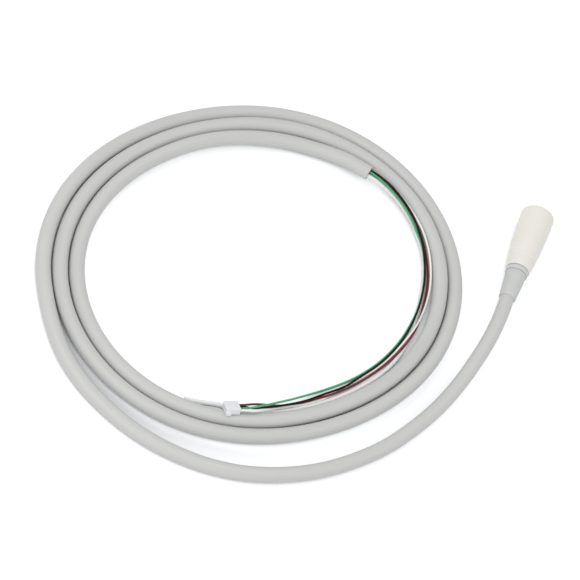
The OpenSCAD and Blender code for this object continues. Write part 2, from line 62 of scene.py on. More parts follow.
# Edges that turn by more than this stay sharp, in degrees
CORD_CREASE = 40
TURNED_CREASE = 35
PLUG_CREASE = 30

# Places along the coupling's axis, read from the frame
shell_low, shell_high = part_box("coupling_shell")
relief_low, relief_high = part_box("bend_relief")
nut_low, nut_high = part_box("gland_nut")
AXIS_HEIGHT = (shell_low.z + shell_high.z) / 2
HOSE_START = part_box("hose_lead")[1].y

# Loops of the hose: travelled angle in degrees from the lead's join inwards, clockwise from above
COIL_CENTRE = MM * np.array([-120.4, -79.4, 0])
COIL_START = 210
COIL_SWEEP = 852
COIL_STEP = 12
COIL_LONG_AXIS = 48
# Travelled angle at which the lead meets the outer loop, a little ahead of the loops' start
LOOP_RUN_ON = -8
# Further turn that the straight cut end points to, and its length past the bore
CUT_TURN = 9
CUT_SPARE = 2.5 * MM
# Travelled angle and lift in millimetres, where loops ride up on the far side
COIL_LIFT = [
    (375, 0), (400, 0.7), (430, 1.9), (460, 1.9), (485, 1.3),
    (500, 1.3), (520, 2.2), (540, 1.5), (560, 0), (735, 0),
    (750, 1.2), (770, 2.9), (790, 4.1), (800, 3.9), (820, 1.9), (838, 0.6), (860, 4.2)]

# Route of the lead behind the relief, in millimetres: place, and height of the hose's underside
LEAD_STRAIGHT = 13 * MM
LEAD_ROUTE = [
    (-1, -56, 4.6), (-3.5, -72, 3.2), (-7, -88, 1.6), (-12, -104, 0.4), (-19, -120, 0),
    (-29, -138, 0), (-42, -154.5, 0), (-56, -168, 0), (-71, -178.5, 0), (-87, -186.5, 0),
    (-104, -191.5, 0), (-122, -193.5, 0), (-140, -192.5, 0), (-157, -188.5, 0), (-173, -182, 0),
    (-187.5, -172.5, 0), (-199, -160.5, 0)]

# Leads and tube along the inner loop. A seat is the place in the cut hose, outwards and upwards
# of its middle. A route point is a direction from the coil's centre in degrees, then the
# distance in from the hose's side and the height, in millimetres.
WIRE_SEATS = {
    "wire_red": (1, -1.2), "wire_black": (1.15, 1.3),
    "wire_green": (-0.1, 1.3), "wire_white": (1.75, 0.1)}
WIRE_ROUTES = {
    "wire_red": [
        (66, 2.4, 6.7), (63, 1.8, 6.5), (60, 1.5, 6.2), (55, 1.25, 6.05), (50, 1.2, 5.8),
        (45, 1.2, 4.9), (40, 1.4, 3.9), (35, 1.7, 3.2), (30, 1.9, 2.6), (25, 2.4, 2.1),
        (20, 2.85, 1.5), (15, 3, 1.2), (10, 2.9, 1.8), (5, 3.15, 2.65), (0, 3.5, 2.75),
        (-5, 3.85, 1.95), (-10, 4.1, 1.1), (-15, 4.25, 0.65), (-20, 4.3, 0.6), (-25, 4.2, 0.75),
        (-29, 4.1, 1.2), (-33, 4.05, 1.7), (-37, 4.1, 1.8), (-40, 4.2, 1.7), (-43, 4.55, 1.25),
        (-48, 4.8, 0.65), (-52, 4.8, 0.6), (-56, 4.9, 0.7), (-60, 4.8, 1.5), (-63, 4.6, 2.7),
        (-66, 4.5, 4.2), (-69, 4.1, 5.8), (-72, 3.4, 7.2)],
    "wire_black": [
        (66, 2.6, 9), (63, 2.05, 8.7), (60, 1.8, 8.35), (55, 1.85, 8.05), (50, 2.1, 7.7),
        (45, 2.55, 6.8), (40, 3, 5.85), (35, 3.55, 4.8), (30, 4.2, 4.05), (25, 4.95, 4),
        (20, 5.5, 3.95), (15, 5.95, 3.95), (10, 6.05, 3.2), (5, 6.1, 2.35), (0, 6.15, 1.8),
        (-5, 6.3, 1.65), (-10, 6.3, 1.6), (-15, 6.35, 1.5), (-20, 6.4, 1.55), (-25, 5.95, 1.7),
        (-29, 5.4, 1.75), (-33, 5.35, 1.65), (-37, 5.4, 1.9), (-40, 5.35, 2.2), (-43, 5.15, 2.35),
        (-48, 4.7, 2.15), (-52, 4.4, 2.5), (-56, 4, 3.3), (-60, 3.4, 4.4), (-63, 2.8, 5.4),
        (-66, 2.2, 6.4), (-69, 1.5, 7.3), (-72, 0.8, 8)],
    "wire_green": [
        (66, 3.85, 8.5), (63, 3.2, 7.9), (60, 2.9, 7.4), (55, 2.9, 7.05), (50, 3.2, 6.65),
        (45, 3.3, 5.65), (40, 2.75, 4.6), (35, 3.2, 3.5), (30, 3.65, 2.9), (25, 4.6, 2.85),
        (20, 5.4, 2.8), (15, 5.95, 2.8), (10, 6.5, 2.1), (5, 6.7, 1.3), (0, 6.9, 0.85),
        (-5, 7.05, 0.65), (-10, 7.1, 0.65), (-15, 7.2, 0.62), (-20, 7.3, 0.6), (-25, 7.4, 0.6),
        (-30, 7.6, 0.6), (-36, 7.85, 0.6), (-40, 7.9, 0.6), (-44, 7.7, 1.2), (-48, 7.2, 2.3),
        (-52, 6.5, 3.6), (-56, 5.6, 5), (-60, 4.6, 6.4), (-63, 3.7, 7.5), (-66, 2.6, 8.5),
        (-69, 1.7, 9.2), (-72, 0.6, 9.5)],
    "wire_white": [
        (66, 1.9, 7.9), (63, 1.2, 7.5), (60, 0.85, 7.2), (55, 0.75, 7.2), (50, 0.85, 7.5),
        (45, 0.85, 7.6), (40, 1, 7.2), (35, 1.2, 6.5), (30, 1.25, 5.1), (25, 1.4, 3.8),
        (20, 2, 2.9), (15, 2.75, 2.5), (10, 3.55, 2.95), (5, 4.4, 2.85), (0, 4.9, 2.2),
        (-5, 5.15, 1.3), (-10, 5.3, 0.8), (-15, 5.55, 0.65), (-20, 5.75, 0.6), (-25, 5.55, 0.6),
        (-29, 5.2, 0.6), (-33, 4.75, 0.6), (-38, 4.05, 0.6), (-42, 3.5, 0.6), (-48, 3.5, 0.6),
        (-52, 3.5, 0.8), (-56, 3.5, 1.5), (-60, 2.9, 2.7), (-63, 2.3, 4.1), (-66, 1.3, 5.6),
        (-69, 0, 7.5), (-72, -1.3, 9.2)]}
TUBE_SEAT = (-1.3, -0.4)
TUBE_ROUTE = [
    (66, 4.75, 6.8), (63, 3.5, 5.7), (60, 2.4, 4.7), (57, 1.8, 4), (54, 1.55, 3.4), (50, 1.5, 2.8),
    (45, 1.95, 2.3), (40, 2.25, 1.7), (35, 2.85, 1.2), (30, 3.8, 1.1), (25, 4.7, 1.1),
    (20, 5.4, 1.1), (15, 5.3, 1.1), (10, 4.7, 1.1), (5, 3.9, 1.1), (0, 3, 1.1), (-5, 2.3, 1.1),
    (-10, 1.9, 1.1), (-16, 1.7, 1.1), (-24, 1.7, 1.1), (-32, 1.7, 1.1), (-40, 1.7, 1.1),
    (-48, 1.7, 1.1), (-56, 1.7, 1.1), (-64, 1.7, 1.1), (-68, 1.7, 1.1), (-72, 1.9, 1.1),
    (-76, 2.7, 1.1), (-80, 3.9, 1.1), (-84, 4.6, 1.1), (-88, 4, 1.1), (-92, 3, 1.1), (-95, 2.4, 1.1)]
STRAIGHT_IN = 2 * MM

# Plug: direction, distance in from the hose's side and height of its lead side, heading and tilt
PLUG_DIRECTION = -77.3
PLUG_IN = 0.15
PLUG_HEIGHT = 8.75
PLUG_HEADING = math.radians(30)
PLUG_TILT = math.radians(25)
PLUG_ENTRY = 2.8 * MM
PLUG_WAYS = 4


def linear(hex_colour):
    """Turns an sRGB hex colour to linear red, green and blue."""
    channels = [int(hex_colour[i:i + 2], 16) / 255 for i in (1, 3, 5)]
    return [c / 12.92 if c <= 0.04045 else ((c + 0.055) / 1.055) ** 2.4 for c in channels]


def length_property(name, description, millimetres):
    """A length that a user would change."""
    return bpy.props.FloatProperty(
        name=name, description=description, default=millimetres * MM, min=0.0,
        precision=5, unit="LENGTH")


def colour_property(name, description, hex_colour):
    """A colour that a user would change."""
    return bpy.props.FloatVectorProperty(
        name=name, description=description, default=linear(hex_colour), min=0.0, max=1.0,
        size=3, subtype="COLOR")


class HoseSizes(bpy.types.PropertyGroup):
    """Sizes of the cords, the coil and the plug"""

    hose: length_property("Hose", "Outer diameter of the hose", 7.6)
    hose_bore: length_property("Hose bore", "Bore at either end of the hose", 5.1)
    bore_depth: length_property("Bore depth", "Depth of the open bore at either end", 10)
    coil_radius: length_property("Coil radius", "Mean radius of the outer loop", 102.9)
    coil_oval: length_property("Coil oval", "Extra reach along the coil's long axis", 8.6)
    coil_gap: length_property("Coil gap", "Spare distance between loops", 0.8)
    wire: length_property("Lead", "Outer diameter of a lead", 1.1)
    tube: length_property("Water tube", "Outer diameter of the water tube", 2.2)
    tube_bore: length_property("Water tube bore", "Bore of the water tube", 1.2)
    plug_length: length_property("Plug length", "Length of the plug", 7.2)
    plug_width: length_property("Plug width", "Width of the plug", 6.35)
    plug_thickness: length_property("Plug thickness", "Thickness of the plug", 3.4)
    plug_pitch: length_property("Plug pitch", "Distance between the plug's ways", 1.35)


class HoseColours(bpy.types.PropertyGroup):
    """Colours of the visible pieces"""

    hose: colour_property("Hose", "Silicone of the hose", "#CACBC9")
    shell: colour_property("Shell", "Plastic of the coupling's shell", "#ECEAE1")
    nut: colour_property("Nut", "Plastic of the gland nut", "#CFD1CE")
    relief: colour_property("Relief", "Rubber of the bend relief", "#CDCFCD")
    wire_red: colour_property("Red lead", "Insulation of the red lead", "#802C33")
    wire_black: colour_property("Black lead", "Insulation of the black lead", "#0E0F0F")
    wire_green: colour_property("Green lead", "Insulation of the green lead", "#52AC80")
    wire_white: colour_property("White lead", "Insulation of the white lead", "#F5F4EF")
    tube: colour_property("Water tube", "Plastic of the water tube", "#EEF0EE")
    plug: colour_property("Plug", "Nylon of the plug", "#E6EAEE")


def unit(vector):
    """The vector at length one."""
    return vector / np.linalg.norm(vector)


def side_of(heading):
    """Level direction to the right of a heading."""
    return unit(np.cross(heading, UP))


def coil_place(sizes, travel):
    """Middle of the hose after a travelled angle, in degrees."""
    angle = math.radians(COIL_START - travel)
    reach = coil_reach(sizes, travel)
    height = sizes.hose / 2 + MM * np.interp(travel, *zip(*COIL_LIFT))
    return COIL_CENTRE + np.array([reach * math.cos(angle), reach * math.sin(angle), height])


def coil_reach(sizes, travel):
    """Distance of the hose's middle from the coil's centre."""
    oval = math.cos(2 * math.radians(COIL_START - travel - COIL_LONG_AXIS))
    return sizes.coil_radius - (sizes.hose + sizes.coil_gap) * travel / 360 + sizes.coil_oval * oval


def cut_end(sizes):
    """Place of the cut hose end and its heading."""
    start = coil_place(sizes, COIL_SWEEP)
    along = unit(coil_place(sizes, COIL_SWEEP + CUT_TURN) - start)
    return start + (sizes.bore_depth + CUT_SPARE) * along, along


def hose_points(sizes):
    """Points of the hose from the coupling to the cut end."""
    relief_tip = relief_low.y
    inside = [HOSE_START, (HOSE_START + relief_tip) / 2, relief_tip, relief_tip - LEAD_STRAIGHT]
    points = [np.array([0, y, AXIS_HEIGHT]) for y in inside]
    points += [MM * np.array(p) + sizes.hose / 2 * UP for p in LEAD_ROUTE]
    # The outer loop runs on into the lead, so that the two join in one bend
    points += [coil_place(sizes, a) for a in (LOOP_RUN_ON, *range(0, COIL_SWEEP + 1, COIL_STEP))]
    points.append(cut_end(sizes)[0])
    return np.array(points)


def beside(sizes, direction, gap, height):
    """A place beside the inner loop."""
    reach = coil_reach(sizes, COIL_START - direction + 360) - sizes.hose / 2 - gap * MM
    angle = math.radians(direction)
    return COIL_CENTRE + np.array([reach * math.cos(angle), reach * math.sin(angle), height * MM])


def bore_points(sizes, seat):
    """Points of a lead or tube in the cut hose and just outside it."""
    cut, along = cut_end(sizes)
    out = side_of(-along)
    place = cut + MM * (seat[0] * out + seat[1] * np.cross(along, out))
    return [place + step * along for step in (-sizes.bore_depth, 0, STRAIGHT_IN)]


def plug_frame(sizes):
    """Middle of the plug's lead side, with the directions along, across and square to the plug."""
    face = beside(sizes, PLUG_DIRECTION, PLUG_IN, PLUG_HEIGHT)
    along = np.array([math.cos(PLUG_HEADING), math.sin(PLUG_HEADING), 0])
    across = math.cos(PLUG_TILT) * side_of(along) + math.sin(PLUG_TILT) * UP
    return face, along, across, np.cross(across, along)


def wire_points(sizes, name):
    """Points of a lead from the cut hose into its way of the plug."""
    face, along, across, _ = plug_frame(sizes)
    way = list(WIRE_ROUTES).index(name) - (PLUG_WAYS - 1) / 2
    entry = face + way * sizes.plug_pitch * across
    points = bore_points(sizes, WIRE_SEATS[name])
    points += [beside(sizes, *p) for p in WIRE_ROUTES[name]]
    points += [entry + step * along for step in (STRAIGHT_IN, 0, -PLUG_ENTRY)]
    return np.array(points)


def tube_points(sizes):
    """Points of the water tube from the cut hose to its open end."""
    return np.array(bore_points(sizes, TUBE_SEAT) + [beside(sizes, *p) for p in TUBE_ROUTE])


def distances(points):
    """Distance along a path at each of its points."""
    return np.concatenate([[0], np.cumsum(np.linalg.norm(np.diff(points, axis=0), axis=1))])


def smooth_path(points, spacing):
    """A smooth path through the points, with even steps of about the spacing."""
    chord = np.diff(points, axis=0)
    span = np.linalg.norm(chord, axis=1)[:, None]
    slope = chord / span
    inner = (slope[:-1] * span[1:] + slope[1:] * span[:-1]) / (span[1:] + span[:-1])
    tangent = np.concatenate([slope[:1], inner, slope[-1:]])
    steps_between_points = 24
    t = np.linspace(0, 1, steps_between_points, endpoint=False)[:, None]
    fine = []
    for i in range(len(chord)):
        fine.append(
            (2 * t**3 - 3 * t**2 + 1) * points[i] + (t**3 - 2 * t**2 + t) * span[i] * tangent[i]
            + (3 * t**2 - 2 * t**3) * points[i + 1] + (t**3 - t**2) * span[i] * tangent[i + 1])
    fine = np.concatenate(fine + [points[-1:]])
    travelled = distances(fine)
    even = np.linspace(0, travelled[-1], round(travelled[-1] / spacing) + 1)
    return np.stack([np.interp(even, travelled, fine[:, k]) for k in range(3)], axis=1)


def finished_mesh(mesh, sharp_degrees):
    """Merges doubles, turns faces outwards and shades the mesh smooth up to an angle."""
    work = bmesh.new()
    work.from_mesh(mesh)
    bmesh.ops.remove_doubles(work, verts=work.verts, dist=MM / 1000)
    bmesh.ops.recalc_face_normals(work, faces=work.faces)
    work.to_mesh(mesh)
    work.free()
    mesh.shade_smooth()
    mesh.set_sharp_from_angle(angle=math.radians(sharp_degrees))
    return mesh


def ring_faces(rings, sides, closed):
    """Four-sided faces between rings that follow each other."""
    last = rings if closed else rings - 1
    faces = []
    for i in range(last):
        here, there = i * sides, (i + 1) % rings * sides
        for k in range(sides):
            following = (k + 1) % sides
            faces.append((here + k, there + k, there + following, here + following))
    return faces


def sweep_mesh(name, path, rings, sides, closed=False):
    """Sweeps rings along a path. A ring is a distance along the path and a radius."""
    travelled = distances(path)
    heading = np.gradient(path, travelled, axis=0)
    along, radius = np.array(rings).T
    middle = np.stack([np.interp(along, travelled, path[:, k]) for k in range(3)], axis=1)
    ahead = np.stack([np.interp(along, travelled, heading[:, k]) for k in range(3)], axis=1)
    ahead /= np.linalg.norm(ahead, axis=1)[:, None]
    right = np.cross(ahead, UP)
    right /= np.linalg.norm(right, axis=1)[:, None]
    above = np.cross(right, ahead)
    turn = 2 * np.pi * (np.arange(sides) + 0.5) / sides
    flat = radius[:, None, None] * np.stack([np.cos(turn), np.sin(turn)], axis=1)
    points = middle[:, None] + flat[..., :1] * right[:, None] + flat[..., 1:] * above[:, None]
    mesh = bpy.data.meshes.new(name)
    mesh.from_pydata(points.reshape(-1, 3).tolist(), [], ring_faces(len(rings), sides, closed))
    # Place in the cross-section and along the cord, so that a pattern can follow the cord
    lengthwise = np.broadcast_to(along[:, None, None], flat.shape[:2] + (1,))
    place = np.concatenate([flat, lengthwise], axis=2).astype(np.float32)
    mesh.attributes.new("lengthwise", "FLOAT_VECTOR", "POINT").data.foreach_set("vector", place.ravel())
    return finished_mesh(mesh, CORD_CREASE)


def lathe_mesh(name, outline, sides):
    """Turns a closed outline of radius and place along the coupling's axis."""
    turn = 2 * np.pi * np.arange(sides) / sides
    points = [
        (r * math.cos(a), y, AXIS_HEIGHT + r * math.sin(a)) for r, y in outline for a in turn]
    mesh = bpy.data.meshes.new(name)
    mesh.from_pydata(points, [], ring_faces(len(outline), sides, True))
    return finished_mesh(mesh, TURNED_CREASE)


def arc(radius, place, bend, start, end, steps=5):
    """Outline points on an arc, from one angle to another in degrees."""
    angles = np.radians(np.linspace(start, end, steps))
    return [(radius + bend * math.cos(a), place + bend * math.sin(a)) for a in angles]


def new_object(name, mesh):
    """An object at the origin with its place in its mesh."""
    piece = bpy.data.objects.new(name, mesh)
    bpy.context.scene.collection.objects.link(piece)
    return piece


def new_piece(name, mesh, material, body, slot, *nodes):
    """A visible piece that rides on a body and stands for nodes of the frame."""
    mesh.materials.clear()
    mesh.materials.append(material)
    piece = new_object(name, mesh)
    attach(piece, body)
    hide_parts(*nodes)
    return piece


def add_node(tree, kind, inputs=None, **settings):
    """Adds a node, applies its settings, and links or sets its inputs."""
    node = tree.nodes.new(kind)
    for key, value in settings.items():
        setattr(node, key, value)
    for key, value in (inputs or {}).items():
        if isinstance(value, bpy.types.NodeSocket):
            tree.links.new(value, node.inputs[key])
        else:
            node.inputs[key].default_value = value
    return node


def surface(name, colour, cloud_mm, grain_mm, tone=0.04, roughness=(0.35, 0.5), relief_mm=0.01,
            stretch=(1, 1, 1), follows=None, sockets=None):
    """A material with a cloudy tone, a fine grain in gloss and relief, and steady shader values.

    Tone is the share by which the colour varies. Follows names the attribute that the pattern
    lies on, and without it the pattern lies on the piece's own place. Grain is drawn several times
    coarser than on the real piece, where it is too fine to show at this distance.
    """
    # Noise lies mostly between these values
    noise_low, noise_high = 0.3, 0.7
    material = bpy.data.materials.new(name)
    material.use_nodes = True
    tree = material.node_tree
    shader = tree.nodes["Principled BSDF"]
    if follows:
        place = add_node(tree, "ShaderNodeAttribute", attribute_name=follows).outputs["Vector"]
    else:
        place = add_node(tree, "ShaderNodeTexCoord").outputs["Object"]
    drawn = add_node(tree, "ShaderNodeMapping", {"Vector": place, "Scale": stretch}).outputs[0]
    cloud = add_node(tree, "ShaderNodeTexNoise", {
        "Vector": drawn, "Scale": 1 / (cloud_mm * MM), "Detail": 3.0, "Roughness": 0.55})
    grain = add_node(tree, "ShaderNodeTexNoise", {
        "Vector": drawn, "Scale": 1 / (grain_mm * MM), "Detail": 2.0, "Roughness": 0.5})
    spread = add_node(tree, "ShaderNodeMapRange", {
        "Value": cloud.outputs[0], "From Min": noise_low, "From Max": noise_high})
    low = [c * (1 - tone) for c in colour] + [1]
    high = [min(1, c * (1 + tone)) for c in colour] + [1]
    tint = add_node(tree, "ShaderNodeMix", {0: spread.outputs[0], 6: low, 7: high}, data_type="RGBA")
    gloss = add_node(tree, "ShaderNodeMapRange", {
        "Value": grain.outputs[0], "From Min": noise_low, "From Max": noise_high,
        "To Min": roughness[0], "To Max": roughness[1]})
    bump = add_node(tree, "ShaderNodeBump", {
        "Height": grain.outputs[0], "Strength": 1.0, "Distance": relief_mm * MM})
    tree.links.new(tint.outputs[2], shader.inputs["Base Color"])
    tree.links.new(gloss.outputs[0], shader.inputs["Roughness"])
    tree.links.new(bump.outputs[0], shader.inputs["Normal"])
    for key, value in (sockets or {}).items():
        shader.inputs[key].default_value = value
    return material


def silicone(colour):
    """Extruded silicone rubber: soft satin, faint streaks drawn along the hose."""
    return surface(
        "silicone_rubber_extruded", colour, cloud_mm=2.4, grain_mm=0.9, tone=0.035,
        roughness=(0.38, 0.52), relief_mm=0.012, stretch=(1, 1, 0.03), follows="lengthwise",
        sockets={"IOR": 1.43, "Subsurface Weight": 0.12, "Subsurface Scale": 0.002,
                 "Subsurface Radius": (1, 0.95, 0.9)})


def shell_plastic(colour):
    """Moulded ABS: smooth satin skin with a spark-eroded grain and a warm depth."""
    return surface(
        "abs_moulded_satin", colour, cloud_mm=14, grain_mm=0.5, tone=0.012,
        roughness=(0.3, 0.4), relief_mm=0.006,
        sockets={"IOR": 1.54, "Subsurface Weight": 0.1, "Subsurface Scale": 0.0015,
                 "Subsurface Radius": (1, 0.85, 0.7)})


def nut_plastic(colour):
    """Moulded acetal: slightly waxy satin, with a tone that hardly varies."""
    return surface(
        "acetal_moulded", colour, cloud_mm=5, grain_mm=0.5, tone=0.02,
        roughness=(0.36, 0.46), relief_mm=0.006, sockets={"IOR": 1.48})


def relief_rubber(colour):
    """Moulded thermoplastic rubber: dull satin, a soft bloom in its tone."""
    return surface(
        "thermoplastic_rubber_moulded", colour, cloud_mm=5, grain_mm=0.7, tone=0.022,
        roughness=(0.5, 0.64), relief_mm=0.012,
        sockets={"IOR": 1.5, "Subsurface Weight": 0.08, "Subsurface Scale": 0.0015})


def lead_insulation(name, colour, follows="lengthwise"):
    """Extruded PVC: a slim gloss line along the lead, with streaks drawn out lengthwise."""
    return surface(
        "pvc_extruded_" + name, colour, cloud_mm=4, grain_mm=0.6, tone=0.05,
        roughness=(0.38, 0.5), relief_mm=0.008, stretch=(1, 1, 0.1), follows=follows,
        sockets={"IOR": 1.53, "Specular IOR Level": 0.2})


def tube_plastic(colour, follows="lengthwise"):
    """Extruded polyurethane: milky and half clear, so that light passes into its wall."""
    return surface(
        "polyurethane_extruded", colour, cloud_mm=5, grain_mm=0.8, tone=0.03,
        roughness=(0.18, 0.3), relief_mm=0.006, stretch=(1, 1, 0.1), follows=follows,
        sockets={"IOR": 1.5, "Subsurface Weight": 0.4, "Subsurface Scale": 0.0008,
                 "Subsurface Radius": (1, 1, 1)})


def plug_nylon(colour):
    """Moulded nylon: cool white, slightly see-through at its edges, with a fine dull grain."""
    return surface(
        "nylon_moulded", colour, cloud_mm=3, grain_mm=0.5, tone=0.02,
        roughness=(0.38, 0.5), relief_mm=0.008,
        sockets={"IOR": 1.53, "Subsurface Weight": 0.15, "Subsurface Scale": 0.001,
                 "Subsurface Radius": (1, 1, 1)})


def block_plastic():
    """Moulded glass-filled PBT: dark, dull, with a fibrous fleck."""
    return surface(
        "pbt_glass_filled", linear("#3A3C40"), cloud_mm=0.8, grain_mm=0.35, tone=0.12,
        roughness=(0.45, 0.65), relief_mm=0.01, sockets={"IOR": 1.55})


def turned_metal(name, hex_colour, roughness):
    """Turned metal: fine rings round the coupling's axis that draw the highlight out."""
    return surface(
        name, linear(hex_colour), cloud_mm=3, grain_mm=0.4, tone=0.06,
        roughness=roughness, relief_mm=0.006, stretch=(0.15, 1, 0.15),
        sockets={"Metallic": 1.0})


def seal_rubber():
    """Moulded nitrile rubber: black and dull with a faint dusty bloom."""
    return surface(
        "nitrile_rubber_moulded", linear("#1C1D1F"), cloud_mm=1, grain_mm=0.3, tone=0.15,
        roughness=(0.5, 0.7), relief_mm=0.006, sockets={"IOR": 1.52})


def new_tree(name, values):
    """A geometry tree with a mesh in and out, and an input for each named value."""
    tree = bpy.data.node_groups.new(name, "GeometryNodeTree")
    tree.interface.new_socket("Geometry", in_out="INPUT", socket_type="NodeSocketGeometry")
    tree.interface.new_socket("Geometry", in_out="OUTPUT", socket_type="NodeSocketGeometry")
    for label, value in values.items():
        kind = "NodeSocketVector" if isinstance(value, tuple) else "NodeSocketFloat"
        tree.interface.new_socket(label, in_out="INPUT", socket_type=kind)
    return tree


def finish_tree(tree, geometry, material):
    """Ends a tree in a plain mesh of one material."""
    real = add_node(tree, "GeometryNodeRealizeInstances", {0: geometry})
    coated = add_node(tree, "GeometryNodeSetMaterial", {0: real.outputs[0], "Material": material})
    add_node(tree, "NodeGroupOutput", {0: coated.outputs[0]})


def grown_mesh(mesh, tree, values):
    """The plain mesh that a geometry tree makes of a mesh and the named values."""
    work = new_object(tree.name, mesh)
    modifier = work.modifiers.new(tree.name, "NODES")
    modifier.node_group = tree
    for item in tree.interface.items_tree:
        if item.in_out == "INPUT" and item.name in values:
            modifier[item.identifier] = values[item.name]
    return plain_mesh(work)


def plain_mesh(work):
    """The evaluated mesh of a working object, which is then removed."""
    depsgraph = bpy.context.evaluated_depsgraph_get()
    mesh = bpy.data.meshes.new_from_object(work.evaluated_get(depsgraph))
    bpy.data.objects.remove(work)
    return mesh


def thread_tree(values, material):
    """A helical thread that is wound on the mesh it is given."""
    tree = new_tree("gland_thread", values)
    given = add_node(tree, "NodeGroupInput").outputs
    turns = add_node(
        tree, "ShaderNodeMath", {0: given["Length"], 1: given["Pitch"]}, operation="DIVIDE")
    steps_per_turn = 64
    helix = add_node(tree, "GeometryNodeCurveSpiral", {
        "Resolution": steps_per_turn, "Rotations": turns.outputs[0], "Height": given["Length"],
        "Start Radius": given["Root radius"], "End Radius": given["Root radius"]})
    upright = add_node(
        tree, "GeometryNodeSetCurveNormal", {0: helix.outputs[0]}, mode="Z_UP")
    section = add_node(tree, "GeometryNodeCurvePrimitiveQuadrilateral", {
        "Height": given["Height"], "Bottom Width": given["Foot"],
        "Top Width": given["Crest"], "Offset": 0.0}, mode="TRAPEZOID")
    ridge = add_node(tree, "GeometryNodeCurveToMesh", {
        "Curve": upright.outputs[0], "Profile Curve": section.outputs[0], "Fill Caps": True})
    laid = add_node(tree, "GeometryNodeTransform", {
        0: ridge.outputs[0], "Translation": given["Start"], "Rotation": (-math.pi / 2, 0, 0)})
    joined = add_node(tree, "GeometryNodeJoinGeometry")
    for geometry in (given["Geometry"], laid.outputs[0]):
        tree.links.new(geometry, joined.inputs[0])
    finish_tree(tree, joined.outputs[0], material)
    return tree


def plug_tree(values, material):
    """Adds the key rib to a plug's block and cuts a row of ways through it."""
    tree = new_tree("plug_ways", values)
    given = add_node(tree, "NodeGroupInput").outputs

    def block(name):
        cube = add_node(tree, "GeometryNodeMeshCube", {"Size": given[name + " size"]})
        return add_node(tree, "GeometryNodeTransform", {
            0: cube.outputs[0], "Translation": given[name + " place"]}).outputs[0]

    keyed = add_node(tree, "GeometryNodeMeshBoolean", operation="UNION", solver="EXACT")
    for geometry in (given["Geometry"], block("Rib")):
        tree.links.new(geometry, keyed.inputs["Mesh 2"])
    bore = add_node(tree, "GeometryNodeMeshCylinder", {
        "Vertices": 32, "Radius": given["Lead radius"], "Depth": given["Lead depth"]})
    bore = add_node(tree, "GeometryNodeTransform", {
        0: bore.outputs[0], "Rotation": (0, math.pi / 2, 0)})
    row = add_node(tree, "GeometryNodeMeshLine", {
        "Count": PLUG_WAYS, "Start Location": given["First way"], "Offset": given["Way step"]})
    cut = add_node(
        tree, "GeometryNodeMeshBoolean", {"Mesh 1": keyed.outputs[0]},
        operation="DIFFERENCE", solver="EXACT")
    for cutter in (block("Channel"), block("Window"), bore.outputs[0]):
        ways = add_node(tree, "GeometryNodeInstanceOnPoints", {
            "Points": row.outputs[0], "Instance": cutter})
        tree.links.new(ways.outputs[0], cut.inputs["Mesh 2"])
    finish_tree(tree, cut.outputs[0], material)
    return tree


def sizes_of(context):
    """The sizes that the user set."""
    return context.scene.hose_sizes


def colours_of(context):
    """The colours that the user set."""
    return context.scene.hose_colours


